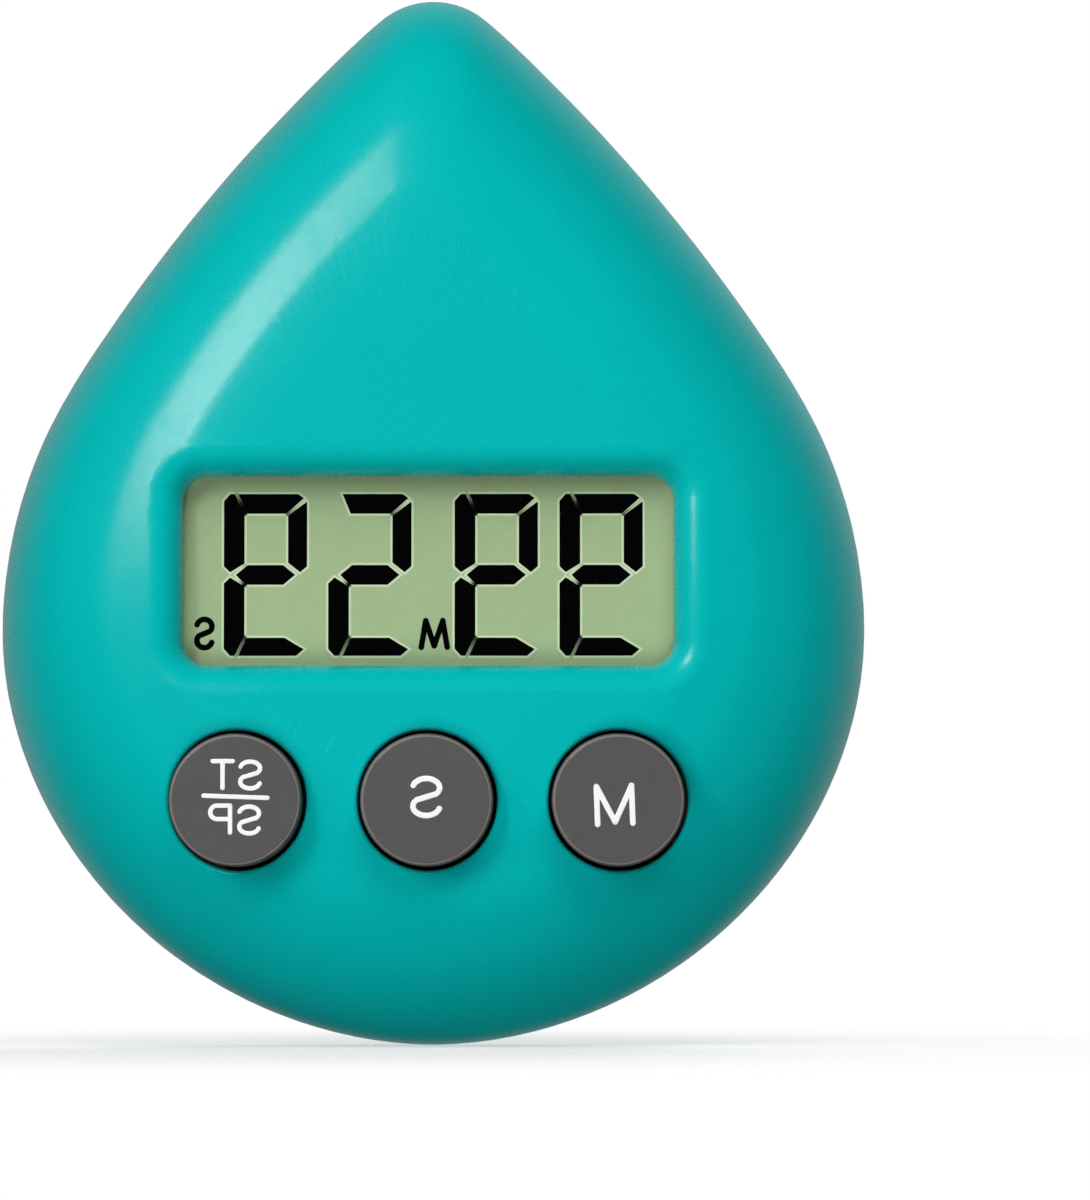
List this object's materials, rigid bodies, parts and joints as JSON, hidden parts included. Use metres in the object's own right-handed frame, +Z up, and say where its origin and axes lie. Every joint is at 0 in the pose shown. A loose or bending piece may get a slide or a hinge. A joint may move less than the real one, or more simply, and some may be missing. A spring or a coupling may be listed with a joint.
{
  "type": "kitchen timer",
  "caption": "Drop-shaped magnetic digital kitchen timer with a recessed segment display, round push buttons and a hinged battery door.",
  "frame": {"origin": "on the flat back face, midway between the two magnets", "axes": "+Z up towards the drop's tip, +Y out of the back towards the steel door, the display faces -Y"},
  "size_m": [0.07, 0.025, 0.0849],
  "materials": {
    "shell_plastic": "satin, fine moulded grain",
    "button_plastic": "matt",
    "clear_lens": "polished clear plastic",
    "polariser_film": "satin film",
    "lcd_glass": "polished",
    "reflector_film": "satin silver film",
    "foam": "open-cell foam",
    "zebra_rubber": "matt silicone",
    "board": "solder mask over glass cloth",
    "epoxy": "glossy resin",
    "tin": "drawn can",
    "ferrite": "matt",
    "component_black": "matt moulded epoxy",
    "component_tan": "matt ceramic",
    "carbon": "matt",
    "silicone": "matt translucent silicone",
    "spring_steel": "nickel plated",
    "cell_steel": "nickel plated",
    "cell_label": "printed shrink film",
    "brass": "rolled",
    "piezo": "silvered ceramic",
    "magnet": "nickel plated",
    "screw_steel": "zinc plated",
    "red_insulation": "satin",
    "black_insulation": "satin",
    "legend_white": "pad-printed ink",
    "display_ink": "switched-on liquid crystal segments",
    "display_halo": "pale edge round a switched-on segment"
  },
  "bodies": {
    "housing": {"front_shell": "shell_plastic", "rear_cover": "shell_plastic", "display_lens": "clear_lens", "lcd_front_polariser": "polariser_film", "lcd_front_glass": "lcd_glass", "lcd_rear_glass": "lcd_glass", "lcd_reflector": "reflector_film", "lcd_foam_pad": "foam", "zebra_connector": "zebra_rubber", "circuit_board": "board", "chip_blob": "epoxy", "crystal": "tin", "sounder_coil": "ferrite", "drive_transistor": "component_black", "smd_parts": "component_tan", "contact_pads": "carbon", "keypad_membrane": "silicone", "battery_can": "cell_steel", "battery_sleeve": "cell_label", "battery_positive_cap": "cell_steel", "positive_contact": "spring_steel", "negative_contact": "spring_steel", "negative_spring": "spring_steel", "piezo_disc": "brass", "piezo_ceramic": "piezo", "magnet_left": "magnet", "magnet_right": "magnet", "housing_screws": "screw_steel", "board_screws": "screw_steel", "battery_wire_positive": "red_insulation", "battery_wire_negative": "black_insulation", "sounder_wire_case": "black_insulation", "sounder_wire_ceramic": "red_insulation"},
    "start_stop": {"start_stop_button": "button_plastic", "start_stop_pill": "carbon"},
    "seconds": {"seconds_button": "button_plastic", "seconds_pill": "carbon"},
    "minutes": {"minutes_button": "button_plastic", "minutes_pill": "carbon"},
    "door": {"battery_door": "shell_plastic"}
  },
  "joints": [
    {"name": "start_stop_press", "type": "slide", "parent": "housing", "child": "start_stop", "axis": [0, 1, 0], "range_m": [0, 0.001], "stiffness_N_per_m": 1200, "springref_m": -0.0003, "deforming": ["keypad_membrane"]},
    {"name": "seconds_press", "type": "slide", "parent": "housing", "child": "seconds", "axis": [0, 1, 0], "range_m": [0, 0.001], "stiffness_N_per_m": 1200, "springref_m": -0.0003, "deforming": ["keypad_membrane"]},
    {"name": "minutes_press", "type": "slide", "parent": "housing", "child": "minutes", "axis": [0, 1, 0], "range_m": [0, 0.001], "stiffness_N_per_m": 1200, "springref_m": -0.0003, "deforming": ["keypad_membrane"]},
    {"name": "door_hinge", "type": "hinge", "parent": "housing", "child": "door", "pos_m": [0, -0.0007, -0.01465], "axis": [1, 0, 0], "range_deg": [0, 75]}
  ]
}
